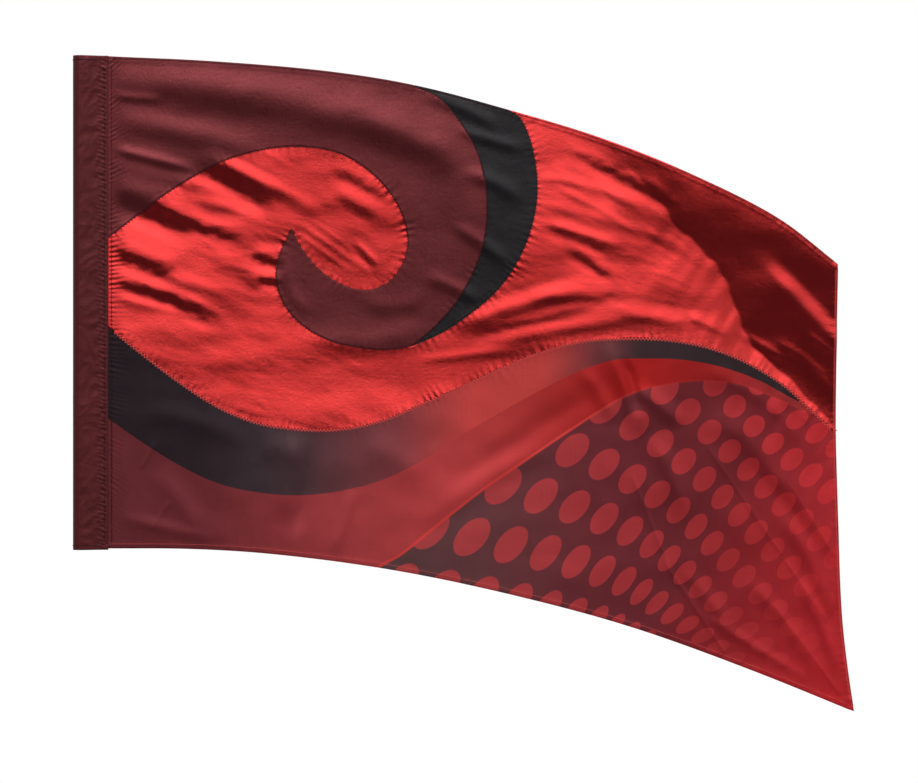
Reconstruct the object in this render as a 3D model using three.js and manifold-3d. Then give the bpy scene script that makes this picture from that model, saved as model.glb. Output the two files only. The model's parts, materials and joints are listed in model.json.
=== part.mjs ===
// Swing flag: a pieced cloth fly sewn into a long pole sleeve.
// Units are millimetres and +Z is up. The sleeve stands along Z, and the fly runs towards +X, facing -Y.
// The origin is on the pole's axis, at the sleeve's lower mouth.
import * as THREE from 'three';
import { mergeVertices } from 'three/addons/utils/BufferGeometryUtils.js';
import Module from 'manifold-3d';

// Sleeve: a strip folded round the pole, its two sides meeting in a flat seam band.
const sleeveLength = 914.4;
const boreRadius = 13.5;
const sidesMeetX = 38;
const sleeveCloth = 0.7;
const sleeveHem = 10;

// The fly swings about the seam line. The sleeve stops short of it, and the fly starts just past it.
const seamX = 53;
const sleeveToSeam = 2.8;
const seamToFly = 0.3;

// Fly: flat panels butted edge to edge, with double-turned hems round the outside.
const flyCloth = 0.8;
const hemCloth = 1.6;
const hemWidth = 10;
const buttGap = 0.4;

// Thread: each row of stitching is a thin band that stands clear of the cloth it holds.
const threadGap = 0.3;
const threadHeight = 0.3;
const straightRow = 1;
const zigzagRow = 4.5;
const zigzagInset = 4;
const straightInset = 8;
const rowEndGap = 4;
const sleeveRowX = 44;
const flyRowX = 57;

// Far enough to pass right through the fly or beyond its outline.
const beyond = 60;

// Curves are cut into steps of about this length.
const stepLength = 15;

// Edges and seams of the fly in the XZ plane, each listed away from the sleeve.
const smooth = (points) => new THREE.CatmullRomCurve3(
  points.map(([x, z]) => new THREE.Vector3(x, 0, z)), false, 'centripetal');
const flyStart = seamX + seamToFly;
const topEdge = smooth([
  [flyStart, 913], [240, 904], [460, 885], [620, 859], [795, 813],
  [960, 763], [1129, 694], [1290, 612], [1399, 528],
]);
const flyEdge = smooth([
  [1399, 528], [1399, 300], [1402, 74], [1408, -111], [1418, -210], [1431, -299],
]);
const bottomEdge = smooth([
  [flyStart, 3], [200, 2], [350, -7], [572, -36], [795, -82], [1017, -142], [1240, -222], [1431, -299],
]);
const curlInside = smooth([
  [flyStart, 579], [112, 625], [183, 675], [257, 716], [331, 739], [405, 746], [480, 733], [546, 690],
  [588, 635], [605, 575], [598, 536], [572, 497], [535, 481], [494, 486], [452, 510], [415, 548], [390, 593],
]);
const curlOutside = smooth([
  [390, 593], [369, 550], [361, 510], [367, 474], [389, 436], [425, 405], [470, 384], [520, 374],
  [570, 371], [613, 377],
]);
const crescentInside = smooth([
  [613, 377], [655, 412], [695, 458], [726, 512], [745, 565], [752, 625], [748, 685], [731, 743],
  [697, 799], [660, 838], [619, 858], [575, 879],
]);
const crescentOutside = smooth([
  [613, 377], [665, 400], [720, 436], [776, 486], [816, 548], [839, 615], [845, 680], [833, 755],
  [812, 800], [791, 815], [762, 832],
]);
const printSeam = smooth([
  [flyStart, 410], [109, 365], [183, 309], [257, 262], [331, 233], [405, 222], [480, 222], [554, 237],
  [628, 267], [702, 300], [776, 334], [850, 364], [925, 384], [1010, 390], [1090, 387], [1160, 374],
  [1230, 348], [1300, 306], [1350, 262], [1420, 195],
]);

const wasm = await Module();
wasm.setup();

// A closed geometry as a manifold solid, and back.
function solid(geometry) {
  const bare = geometry.index ? geometry.toNonIndexed() : geometry;
  bare.deleteAttribute('normal');
  bare.deleteAttribute('uv');
  const merged = mergeVertices(bare, 1e-4);
  return new wasm.Manifold(new wasm.Mesh({
    numProp: 3,
    vertProperties: new Float32Array(merged.attributes.position.array),
    triVerts: new Uint32Array(merged.index.array),
  }));
}

function geometryOf(body) {
  const mesh = body.getMesh();
  const geometry = new THREE.BufferGeometry();
  geometry.setAttribute('position', new THREE.BufferAttribute(mesh.vertProperties, 3));
  geometry.setIndex(new THREE.BufferAttribute(mesh.triVerts, 1));
  geometry.computeVertexNormals();
  return geometry;
}

// Points along a curve between two distances, moved sideways to its left.
function along(curve, { from = 0, to = curve.getLength(), left = 0 } = {}) {
  const length = curve.getLength();
  const steps = Math.ceil((to - from) / stepLength);
  return Array.from({ length: steps + 1 }, (_, i) => {
    const u = THREE.MathUtils.clamp((from + (to - from) * i / steps) / length, 0, 1);
    const point = curve.getPointAt(u);
    const tangent = curve.getTangentAt(u);
    return new THREE.Vector2(point.x - tangent.z * left, point.z + tangent.x * left);
  });
}

const at = (x, z) => new THREE.Vector2(x, z);

// An outline in XZ, made solid between two values of Y.
function slab(outline, nearY, farY) {
  const shape = new THREE.Shape(outline);
  const geometry = new THREE.ExtrudeGeometry(shape, { depth: farY - nearY, bevelEnabled: false });
  return solid(geometry.rotateX(Math.PI / 2).translate(0, farY, 0));
}

// The outline of a strip of even width along a curve.
function strip(curve, width, span = {}) {
  const middle = span.left ?? 0;
  const rightSide = along(curve, { ...span, left: middle - width / 2 });
  const leftSide = along(curve, { ...span, left: middle + width / 2 });
  return [...rightSide, ...leftSide.reverse()];
}

// Sleeve.

const sleeveEnd = seamX - sleeveToSeam;

// The sleeve's outline in XY at a given thickness of cloth outside the pole's bore.
function sleeveOutline(cloth, endX = sleeveEnd, round = 24) {
  const slope = Math.asin(boreRadius / sidesMeetX);
  const tangentAngle = Math.PI / 2 - slope;
  const cornerX = sidesMeetX + cloth * Math.tan(slope / 2);
  const points = [];
  if (cloth > 0) points.push(new THREE.Vector2(endX, cloth));
  points.push(new THREE.Vector2(cornerX, cloth));
  for (let i = 0; i <= round; i += 1) {
    const angle = THREE.MathUtils.lerp(tangentAngle, 2 * Math.PI - tangentAngle, i / round);
    points.push(new THREE.Vector2(Math.cos(angle), Math.sin(angle)).multiplyScalar(boreRadius + cloth));
  }
  if (cloth > 0) points.push(new THREE.Vector2(cornerX, -cloth), new THREE.Vector2(endX, -cloth));
  return points;
}

function sleeveRing(inner, outer, lowZ, highZ) {
  const shape = new THREE.Shape(outer);
  shape.holes.push(new THREE.Path(inner));
  const geometry = new THREE.ExtrudeGeometry(shape, { depth: highZ - lowZ, bevelEnabled: false });
  return solid(geometry.translate(0, 0, lowZ));
}

function poleSleeve() {
  const bore = sleeveOutline(0);
  const wall = sleeveOutline(sleeveCloth);
  const turned = sleeveOutline(2 * sleeveCloth);
  return sleeveRing(bore, wall, 0, sleeveLength)
    .add(sleeveRing(bore, turned, 0, sleeveHem))
    .add(sleeveRing(bore, turned, sleeveLength - sleeveHem, sleeveLength));
}

// A row of stitching round a mouth of the sleeve.
function mouthRow(z) {
  const innerCloth = 2 * sleeveCloth + threadGap;
  const inner = sleeveOutline(innerCloth, sleeveEnd + threadGap);
  const outer = sleeveOutline(innerCloth + threadHeight, sleeveEnd + threadGap + threadHeight);
  return sleeveRing(inner, outer, z - straightRow / 2, z + straightRow / 2);
}

// A row of stitching beside the sleeve's seam, in front of cloth whose face is at the given Y.
function seamRow(x, clothFront) {
  const front = clothFront - threadGap;
  const ends = sleeveHem + rowEndGap;
  const outline = [
    at(x - straightRow / 2, ends), at(x + straightRow / 2, ends),
    at(x + straightRow / 2, sleeveLength - ends), at(x - straightRow / 2, sleeveLength - ends),
  ];
  return slab(outline, front - threadHeight, front);
}

// Fly.

function flySheet() {
  const outline = [
    ...along(bottomEdge), ...along(flyEdge).slice(1, -1).reverse(), ...along(topEdge).reverse(),
  ];
  const sheet = slab(outline, -flyCloth / 2, flyCloth / 2);
  const hems = [
    strip(topEdge, hemWidth, { left: -hemWidth / 2 }),
    strip(flyEdge, hemWidth, { left: -hemWidth / 2 }),
    strip(bottomEdge, hemWidth, { left: hemWidth / 2 }),
  ];
  return hems.reduce((body, hem) => body.add(slab(hem, -hemCloth / 2, hemCloth / 2)), sheet);
}

// Everything on one side of the seams, well past the fly's outline and thickness.
function region(outline) {
  return slab(outline, -beyond, beyond);
}

const aboveFly = sleeveLength + beyond;
const leftOfFly = flyStart - beyond;
const rightOfFly = 1431 + beyond;
const belowFly = -299 - beyond;
const swirlRegion = region([
  ...along(curlInside), ...along(curlOutside).slice(1), ...along(crescentInside).slice(1),
  at(575, aboveFly), at(leftOfFly, aboveFly), at(leftOfFly, 579),
]);
const crescentRegion = region([
  ...along(crescentOutside), at(762, aboveFly), at(575, aboveFly),
  ...along(crescentInside).reverse().slice(0, -1),
]);
const printRegion = region([
  ...along(printSeam), at(rightOfFly, 195), at(rightOfFly, belowFly),
  at(leftOfFly, belowFly), at(leftOfFly, 410),
].reverse());

// The thin gap that neighbouring panels keep along each seam.
const gaps = [curlInside, curlOutside, crescentInside, crescentOutside, printSeam]
  .map((seam) => region(strip(seam, buttGap)))
  .reduce((all, gap) => all.add(gap));

const wholeFly = flySheet();
const seamedFly = wholeFly.subtract(gaps);
const swirl = seamedFly.intersect(swirlRegion);
const crescent = seamedFly.intersect(crescentRegion);
const print = seamedFly.intersect(printRegion);
const ground = seamedFly.subtract(swirlRegion).subtract(crescentRegion).subtract(printRegion);

// Everything from the hems' inner edges outwards, where no zigzag runs.
const hemClear = hemWidth + threadGap;
const outsideHems = [topEdge, flyEdge]
  .map((edge) => region(strip(edge, beyond + hemClear, { left: (beyond - hemClear) / 2 })))
  .reduce((all, outside) => all.add(outside));

// A raised row of stitching along a seam, between two distances from its start.
function zigzag(seam, from = 0, to = seam.getLength()) {
  const front = -flyCloth / 2 - threadGap;
  return slab(strip(seam, zigzagRow, { from, to }), front - threadHeight, front).subtract(outsideHems);
}

// A raised row of stitching along a hem, at a distance to the left of its edge, short of both its ends.
function hemRow(edge, width, left, startGap, endGap) {
  const front = -hemCloth / 2 - threadGap;
  const span = { left, from: startGap, to: edge.getLength() - endGap };
  return slab(strip(edge, width, span), front - threadHeight, front);
}

// Zigzags start past the fly's row of seam stitching. Where three panels meet only one of them runs through.
const clearOfSleeve = 9;
const clearOfJoin = 24;
const clearOfPoint = 2;

// Rows along the hems start well past the hinge line and swing clear of the rows round the mouths.
const clearOfMouth = 9;

// Materials.

function cloth(name, color, roughness, metalness) {
  return new THREE.MeshStandardMaterial({ name, color, roughness, metalness });
}
const maroonSilk = cloth('maroon_silk', 0x5a262c, 0.5, 0);
const blackSilk = cloth('black_silk', 0x201d1f, 0.45, 0);
const redLame = cloth('red_lame', 0xd8261f, 0.3, 0.6);
const printedSatin = cloth('printed_satin', 0x8c262a, 0.45, 0);
const maroonThread = cloth('maroon_thread', 0x6d1a20, 0.7, 0);
const blackThread = cloth('black_thread', 0x1c1a1b, 0.7, 0);
const redThread = cloth('red_thread', 0xe0453c, 0.6, 0);

const flag = new THREE.Group();

function place(name, body, material) {
  const mesh = new THREE.Mesh(geometryOf(body), material);
  mesh.name = name;
  flag.add(mesh);
}

place('pole_sleeve', poleSleeve(), maroonSilk);
place('sleeve_bottom_hem_stitch', mouthRow(straightInset), maroonThread);
place('sleeve_top_hem_stitch', mouthRow(sleeveLength - straightInset), maroonThread);
place('sleeve_seam_stitch_inner', seamRow(sleeveRowX, -sleeveCloth), maroonThread);

place('maroon_swirl_panel', swirl, maroonSilk);
place('black_crescent_panel', crescent, blackSilk);
place('lame_ground_panel', ground, redLame);
place('printed_lower_panel', print, printedSatin);
place('sleeve_seam_stitch_outer', seamRow(flyRowX, -flyCloth / 2), maroonThread);

const curlPoint = curlOutside.getLength() - clearOfPoint;
const curlRow = zigzag(curlInside, clearOfSleeve).add(zigzag(curlOutside, 0, curlPoint));
place('zigzag_swirl_to_lame', curlRow, maroonThread);
place('zigzag_swirl_to_crescent', zigzag(crescentInside, clearOfJoin), maroonThread);
place('zigzag_crescent_to_lame', zigzag(crescentOutside, clearOfPoint), blackThread);
place('zigzag_lame_to_print', zigzag(printSeam, clearOfSleeve), redThread);

place('top_hem_stitch', hemRow(topEdge, zigzagRow, -zigzagInset, clearOfMouth, 8), maroonThread);
place('fly_hem_stitch', hemRow(flyEdge, zigzagRow, -zigzagInset, 12, 30), redThread);
place('bottom_hem_stitch', hemRow(bottomEdge, straightRow, straightInset, clearOfMouth, 20), redThread);

export default flag;
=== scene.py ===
import json
import math
import bpy
import numpy as np
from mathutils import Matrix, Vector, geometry, kdtree


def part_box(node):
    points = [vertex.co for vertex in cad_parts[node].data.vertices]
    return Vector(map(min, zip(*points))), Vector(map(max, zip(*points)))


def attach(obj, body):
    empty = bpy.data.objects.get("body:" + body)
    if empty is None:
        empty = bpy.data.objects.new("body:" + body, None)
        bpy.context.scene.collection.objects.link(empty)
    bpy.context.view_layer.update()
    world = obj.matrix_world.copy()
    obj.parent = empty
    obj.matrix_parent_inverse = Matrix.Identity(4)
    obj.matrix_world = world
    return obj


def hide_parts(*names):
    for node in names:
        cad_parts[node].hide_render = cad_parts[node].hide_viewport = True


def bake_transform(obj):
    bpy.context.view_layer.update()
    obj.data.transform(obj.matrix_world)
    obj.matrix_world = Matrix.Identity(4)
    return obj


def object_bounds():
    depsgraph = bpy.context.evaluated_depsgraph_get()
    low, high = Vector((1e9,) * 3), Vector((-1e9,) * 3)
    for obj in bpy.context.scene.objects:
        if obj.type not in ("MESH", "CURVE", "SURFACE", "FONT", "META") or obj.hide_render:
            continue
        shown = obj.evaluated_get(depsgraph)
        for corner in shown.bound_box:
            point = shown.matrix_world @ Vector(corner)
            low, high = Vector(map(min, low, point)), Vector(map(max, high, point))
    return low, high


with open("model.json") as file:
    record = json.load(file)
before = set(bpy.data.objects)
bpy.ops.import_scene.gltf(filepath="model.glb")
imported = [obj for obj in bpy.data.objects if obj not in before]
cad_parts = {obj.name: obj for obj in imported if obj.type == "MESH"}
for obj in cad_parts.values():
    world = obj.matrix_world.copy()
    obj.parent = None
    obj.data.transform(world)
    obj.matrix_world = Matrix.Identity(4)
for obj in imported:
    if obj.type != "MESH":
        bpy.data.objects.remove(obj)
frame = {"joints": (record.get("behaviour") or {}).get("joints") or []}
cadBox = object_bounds()

# Sizes are in millimetres. X runs from the sleeve to the fly, Z runs up, and the front of the cloth faces -Y.
mm = 0.001
flyAxis = frame["joints"][0]["pos_m"][0] / mm
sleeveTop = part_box("pole_sleeve")[1][2] / mm

# nodes


def ink(red, green, blue):
    levels = [c / 255 for c in (red, green, blue)]
    return tuple(c / 12.92 if c <= 0.04045 else ((c + 0.055) / 1.055) ** 2.4 for c in levels) + (1,)


# A new shader node. Its sockets are given by name, or as i and their number, and take a wire or a value.
def put(tree, kind, operation=None, **wires):
    made = tree.nodes.new("ShaderNode" + kind)
    if operation:
        made.operation = operation
    for label, value in wires.items():
        key = int(label[1:]) if label[0] == "i" and label[1:].isdigit() else label.replace("_", " ")
        socket = made.inputs[key]
        if isinstance(value, bpy.types.NodeSocket):
            tree.links.new(value, socket)
        else:
            socket.default_value = value
    return made


def sumOf(tree, operation, first, second=0.0, third=None):
    wires = {"i0": first, "i1": second}
    if third is not None:
        wires["i2"] = third
    return put(tree, "Math", operation, **wires).outputs[0]


def rangeOf(tree, value, fromLow, fromHigh, toLow=0.0, toHigh=1.0, smooth=False):
    made = put(tree, "MapRange", Value=value, i1=fromLow, i2=fromHigh, i3=toLow, i4=toHigh)
    if smooth:
        made.interpolation_type = "SMOOTHSTEP"
    return made.outputs["Result"]


def rampOf(tree, value, stops):
    made = put(tree, "ValToRGB", Fac=value)
    elements = made.color_ramp.elements
    while len(elements) < len(stops):
        elements.new(0.5)
    for element, (position, colour) in zip(elements, stops):
        element.position = position
        element.color = colour
    return made.outputs["Color"]


def colourOf(tree, colour):
    made = put(tree, "RGB").outputs[0]
    made.default_value = colour
    return made


# camera and studio

# The dome's brightness runs from below, at 0, to above, at 1. Levels under redBelow turn a deep red. Flags and
# screens go by how far a ray points to a side, and the screens' glow by how far it points up, each as: from low,
# from high, to low, to high.
studio = {
    "viewWidth": 1699,
    "viewCentre": (700, 293),
    "distance": 6000,
    "floorDrop": 600,
    "aim": (0.7, 0, 0.3),
    "lights": [("key", (0.5, -2.2, 3.2), (1.8, 1.2), 25), ("fill", (2.6, -2.4, 0.4), (1.4, 2.0), 1.5)],
    "lean": (0.12, 0, 0.993),
    "dome": [(0.0, 0.2), (0.30, 0.015), (0.43, 0.02), (0.465, 0.14), (0.5, 0.39), (0.54, 0.66), (0.59, 0.98),
             (0.68, 1.2), (0.84, 1.3), (1.0, 0.8)],
    "redBelow": 0.3,
    "flags": (0.22, 0.5, 1.16, 0.15),
    "screens": (0.55, 0.72, 0.0, 1.0),
    "glow": (-0.6, 0.4, 0.05, 0.8),
}


def makeCamera():
    camera = bpy.data.cameras.new("camera")
    camera.sensor_width = 36
    camera.lens = camera.sensor_width * studio["distance"] / studio["viewWidth"]
    holder = bpy.data.objects.new("camera", camera)
    x, z = studio["viewCentre"]
    holder.location = (x * mm, -studio["distance"] * mm, z * mm)
    holder.rotation_euler = (math.pi / 2, 0, 0)
    bpy.context.scene.collection.objects.link(holder)
    bpy.context.scene.camera = holder


def addLight(name, place, size, power):
    light = bpy.data.lights.new(name, "AREA")
    light.shape = "RECTANGLE"
    light.size, light.size_y = size
    light.energy = power
    holder = bpy.data.objects.new(name, light)
    holder.location = place
    x, y, z = np.array(studio["aim"]) - np.array(place)
    holder.rotation_euler = (math.atan2(math.hypot(x, y), -z), 0, math.atan2(y, x) - math.pi / 2)
    bpy.context.scene.collection.objects.link(holder)


def makeStudio():
    world = bpy.data.worlds.new("studio")
    bpy.context.scene.world = world
    world.use_nodes = True
    tree = world.node_tree
    tree.nodes.clear()
    place = put(tree, "TexCoord").outputs["Generated"]
    upward = put(tree, "VectorMath", "DOT_PRODUCT", i0=place, i1=studio["lean"]).outputs["Value"]
    sideways = sumOf(tree, "ABSOLUTE", put(tree, "SeparateXYZ", Vector=place).outputs["X"])
    tones = []
    for position, level in studio["dome"]:
        pale = min(level / studio["redBelow"], 1)
        tones.append((position, (level, level * (0.4 + 0.6 * pale), level * (0.85 + 0.15 * pale), 1)))
    dome = put(tree, "Background", Color=rampOf(tree, rangeOf(tree, upward, -1, 1), tones),
               Strength=rangeOf(tree, sideways, *studio["flags"], smooth=True))
    screen = put(tree, "Background", Strength=rangeOf(tree, upward, *studio["glow"]))
    paper = put(tree, "Background", Color=(1, 1, 1, 1))
    around = put(tree, "MixShader", Fac=rangeOf(tree, sideways, *studio["screens"], smooth=True),
                 i1=dome.outputs[0], i2=screen.outputs[0])
    seen = put(tree, "MixShader", Fac=put(tree, "LightPath").outputs["Is Camera Ray"],
               i1=around.outputs[0], i2=paper.outputs[0])
    put(tree, "OutputWorld", Surface=seen.outputs[0])
    for light in studio["lights"]:
        addLight(*light)
    bpy.context.scene.view_settings.view_transform = "Standard"


makeCamera()
makeStudio()
print("camera and studio made")

# lines of the pattern

pattern = {
    "insideSleeve": 43,
    "allowance": 6,
    "clothThickness": 0.25,
    "levels": {"print": 0.35, "lame": 0.0, "crescent": -0.35, "swirl": -0.7},
    "seamEnds": 30,
    "fineStep": 2.4,
    "coarseStep": 4.0,
    "fineBand": 14,
    "sleeveBand": 40,
}


def lengthAlong(line):
    return np.concatenate([[0], np.cumsum(np.hypot(*np.diff(line, axis=0).T))])


def resample(line, step):
    reach = lengthAlong(line)
    count = max(2, int(round(reach[-1] / step)) + 1)
    at = np.linspace(0, reach[-1], count)
    return np.column_stack([np.interp(at, reach, line[:, 0]), np.interp(at, reach, line[:, 1])])


def straightLine(start, end, step=1.5):
    return resample(np.array([start, end], float), step)


def between(a, b, ta, tb, t):
    return (tb - t) / (tb - ta) * a + (t - ta) / (tb - ta) * b


# A centripetal Catmull-Rom line through the points, with even steps.
def smoothLine(points, step=1.5):
    p = np.array(points, float)
    p = np.vstack([2 * p[0] - p[1], p, 2 * p[-1] - p[-2]])
    pieces = []
    for a, b, c, d in zip(p[:-3], p[1:-2], p[2:-1], p[3:]):
        ta = 0
        tb = ta + math.sqrt(math.dist(a, b))
        tc = tb + math.sqrt(math.dist(b, c))
        td = tc + math.sqrt(math.dist(c, d))
        t = np.linspace(tb, tc, 30, endpoint=False)[:, None]
        ab, bc, cd = between(a, b, ta, tb, t), between(b, c, tb, tc, t), between(c, d, tc, td, t)
        pieces.append(between(between(ab, bc, ta, tc, t), between(bc, cd, tb, td, t), tb, tc, t))
    return resample(np.vstack(pieces + [p[-2:-1]]), step)


def directions(line):
    slope = np.gradient(line, axis=0)
    return slope / np.hypot(slope[:, 0], slope[:, 1])[:, None]


def leftOf(line, distance):
    slope = directions(line)
    return line + np.column_stack([-slope[:, 1], slope[:, 0]]) * np.reshape(distance, (-1, 1))


def fade(value, start, end):
    t = np.clip((value - start) / (end - start), 0, 1)
    return t * t * (3 - 2 * t)


flyStart = flyAxis + 0.3
topEdge = smoothLine([(flyStart, 913), (240, 904), (460, 885), (620, 859), (795, 813),
                      (960, 763), (1129, 694), (1290, 612), (1399, 528)])
flyEdge = smoothLine([(1399, 528), (1399, 300), (1402, 74), (1408, -111), (1418, -210), (1431, -299)])
bottomEdge = smoothLine([(flyStart, 3), (200, 2), (350, -7), (572, -36), (795, -82),
                         (1017, -142), (1240, -222), (1431, -299)])
curlInside = smoothLine([(flyStart, 579), (112, 625), (183, 675), (257, 716), (331, 739), (405, 746),
                         (480, 733), (546, 690), (588, 635), (605, 575), (598, 536), (572, 497),
                         (535, 481), (494, 486), (452, 510), (415, 548), (390, 593)])
curlOutside = smoothLine([(390, 593), (369, 550), (361, 510), (367, 474), (389, 436), (425, 405),
                          (470, 384), (520, 374), (570, 371), (613, 377)])
crescentInside = smoothLine([(613, 377), (655, 412), (695, 458), (726, 512), (745, 565), (752, 625),
                             (748, 685), (731, 743), (697, 799), (660, 838), (619, 858), (575, 879)])
crescentOutside = smoothLine([(613, 377), (665, 400), (720, 436), (776, 486), (816, 548), (839, 615),
                              (845, 680), (833, 755), (812, 800), (791, 815), (762, 832)])
printSeam = smoothLine([(flyStart, 410), (109, 365), (183, 309), (257, 262), (331, 233), (405, 222),
                        (480, 222), (554, 237), (628, 267), (702, 300), (776, 334), (850, 364),
                        (925, 384), (1010, 390), (1090, 387), (1160, 374), (1230, 348), (1300, 306),
                        (1350, 262), (1420, 195)])


def topAt(x):
    return np.interp(x, topEdge[:, 0], topEdge[:, 1])


def bottomAt(x):
    return np.interp(x, bottomEdge[:, 0], bottomEdge[:, 1])


def flyAt(z):
    return np.interp(z, flyEdge[::-1, 1], flyEdge[::-1, 0])


# Seams stop where they reach the top edge or the fly edge.
crescentInside = crescentInside[crescentInside[:, 1] < topAt(crescentInside[:, 0])]
crescentOutside = crescentOutside[crescentOutside[:, 1] < topAt(crescentOutside[:, 0])]
printSeam = printSeam[printSeam[:, 0] < flyAt(printSeam[:, 1])]

# folds of the cloth: from x, z to x, z, how far each bows to its left, how high it stands and how wide it is

folds = {
    "swirl": [
        (50, 868, 720, 722, 30, 7.4, 34), (50, 800, 340, 735, 6, 5.2, 24), (50, 712, 250, 668, 0, 2.4, 16),
        (50, 842, 150, 832, 0, 2.0, 8), (640, 800, 735, 540, 18, 3.5, 34),
        (470, 830, 700, 700, 10, 3.5, 30), (400, 400, 640, 410, -18, 2.5, 22),
        (380, 540, 420, 440, -14, 2.0, 12), (520, 460, 640, 470, -14, 2.2, 18),
        (55, 744, 210, 704, 0, 3.4, 9), (640, 842, 770, 782, 6, 3.6, 13), (700, 776, 815, 742, 0, 3.2, 11),
        (708, 700, 815, 650, 6, 4.0, 14), (690, 600, 790, 530, 4, 3.4, 12),
        (640, 505, 740, 458, 4, 2.8, 12),
    ],
    "lame left": [
        (235, 732, 440, 628, 0, 3.6, 13), (110, 672, 330, 612, 6, 2.5, 12),
        (70, 530, 300, 452, 8, 2.0, 12), (58, 470, 260, 420, 0, 1.6, 9), (240, 545, 345, 500, 0, 2.5, 17),
        (500, 560, 540, 520, 0, -1.8, 5), (510, 570, 550, 528, 0, 1.6, 5),
        (398, 588, 500, 514, 0, 0.9, 3.5), (410, 600, 520, 522, 0, 0.9, 3.5),
        (424, 612, 535, 532, 0, 0.8, 3.5), (420, 640, 590, 600, 14, 1.4, 16),
        (100, 400, 420, 380, 14, 1.2, 20), (200, 340, 480, 345, 16, 1.2, 22),
    ],
    "lame right": [
        (850, 690, 1040, 632, 10, 2.2, 9), (880, 668, 1010, 600, 4, 1.4, 7),
        (850, 640, 1120, 560, 6, 1.8, 11), (850, 605, 1000, 560, 4, 1.4, 8),
        (700, 412, 925, 480, 4, 4.0, 14), (760, 380, 1060, 432, 6, 2.0, 12),
        (980, 450, 1140, 420, -6, 2.0, 13), (620, 350, 820, 372, 0, 2.0, 10),
        (1120, 436, 1200, 400, 0, 2.5, 9), (1215, 405, 1310, 350, 0, 3.0, 9),
        (1290, 385, 1380, 320, 4, 2.5, 8), (1345, 400, 1395, 360, 0, 2.5, 7),
        (1330, 345, 1390, 300, 0, 2.0, 8),
    ],
    "print": [
        (970, 380, 1040, 210, 10, 6.0, 20), (1000, 355, 1030, 250, 6, -6.0, 11),
        (1030, 300, 1110, 235, 0, 5.0, 16), (930, 330, 985, 240, 4, 3.0, 14),
        (1150, 330, 1330, 230, 20, 4.0, 22), (1200, 340, 1350, 210, 10, -3.0, 12),
        (1060, 200, 1120, 60, 8, 4.0, 18), (1180, 240, 1360, 60, 16, 4.0, 22),
        (1250, 170, 1390, -10, 10, 3.0, 16), (395, 215, 372, 60, 4, 4.0, 22),
        (424, 190, 398, 30, 4, -3.4, 12), (330, 190, 420, 175, 6, 3.0, 26), (500, 110, 470, 0, 4, 2.4, 10),
        (520, 200, 640, 140, 0, 3.0, 26), (640, 60, 860, 190, 6, 3.0, 22),
        (700, 130, 960, 300, 0, -2.6, 20), (120, 260, 300, 200, 8, 2.2, 20),
        (140, 140, 220, 30, 6, 2.4, 20), (80, 60, 240, 20, 0, 2.0, 12),
        (1300, 60, 1390, -120, 10, 3.6, 16), (1330, -60, 1400, -220, 6, 3.2, 11),
        (1240, -60, 1360, -220, 6, 2.8, 13), (1120, -40, 1210, -160, 4, 2.4, 15),
        (1150, -120, 1330, -230, 0, 2.0, 9),
    ],
}

foldStrength = {"swirl": 1.0, "lame left": 0.5, "lame right": 0.52, "print": 1.2}

# Bands where the cloth leans over: from x, z to x, z, bow to the left, slope (positive faces down) and width.
leans = [
    (215, 716, 352, 642, 4, 0.28, 24), (50, 664, 205, 598, 0, 0.38, 30), (180, 606, 295, 578, 0, 0.20, 16),
    (58, 550, 170, 512, 0, 0.30, 21), (58, 500, 258, 424, 4, 0.26, 18), (318, 540, 380, 530, 0, 0.24, 16),
    (330, 502, 372, 492, 0, 0.26, 12), (470, 702, 562, 655, 0, 0.12, 14),
    (470, 655, 545, 612, 0, 0.11, 16), (860, 598, 985, 552, 0, 0.14, 14),
    (900, 560, 985, 500, 0, 0.16, 14), (830, 460, 1030, 470, 0, 0.10, 14),
    (900, 738, 1100, 636, 4, 0.18, 15), (700, 432, 925, 500, 4, -0.08, 14),
    (720, 398, 960, 452, 0, 0.10, 12), (200, 880, 690, 800, 24, -0.06, 30),
    (60, 725, 190, 700, 0, 0.07, 26),
]

# The upper corner of the fly leans forward down to the foot line, and steps back out once along the fold.
corner = {
    "foot": [(900, 742), (1000, 706), (1045, 680), (1100, 602), (1163, 543), (1197, 494), (1213, 445),
             (1235, 392), (1290, 335), (1345, 285), (1400, 225), (1460, 180)],
    "turn": 32,
    "forward": 18,
    "slope": 0.22,
    "flatTop": 20,
    "returnsOver": 100,
    "fold": (1256, 550, 1392, 412),
    "foldStep": 6.5,
    "foldWidth": 18,
}

# Each crease has three rows of mesh points of its own, beside apart, and others keep clear of it.
crease = {"height": 1.2, "width": 3.4, "clear": 3.4, "beside": 2.2}

# Sharp, thin fold lines pressed into the satin: from x, z to x, z.
creases = [
    (1018, 143, 1090, -36), (1078, -20, 1196, -196), (1156, 196, 1303, -16), (1300, -14, 1384, -136),
    (1299, 143, 1396, -12), (1275, -92, 1409, -272), (139, 198, 111, 150), (165, 91, 129, 35),
]

# Puckers along the seams and hems: the line, one ripple's length and height, and how far it reaches sideways.
seams = {
    "curlInside": (curlInside, 15, 0.55, 11),
    "curlOutside": (curlOutside, 14, 0.5, 10),
    "crescentInside": (crescentInside, 17, 0.3, 10),
    "crescentOutside": (crescentOutside, 13, 0.6, 14),
    "printSeam": (printSeam, 14, 0.6, 15),
    "topEdge": (topEdge, 17, 0.35, 10),
    "flyEdge": (flyEdge, 13, 0.6, 13),
    "bottomEdge": (bottomEdge, 12, 0.35, 12),
}


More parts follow.
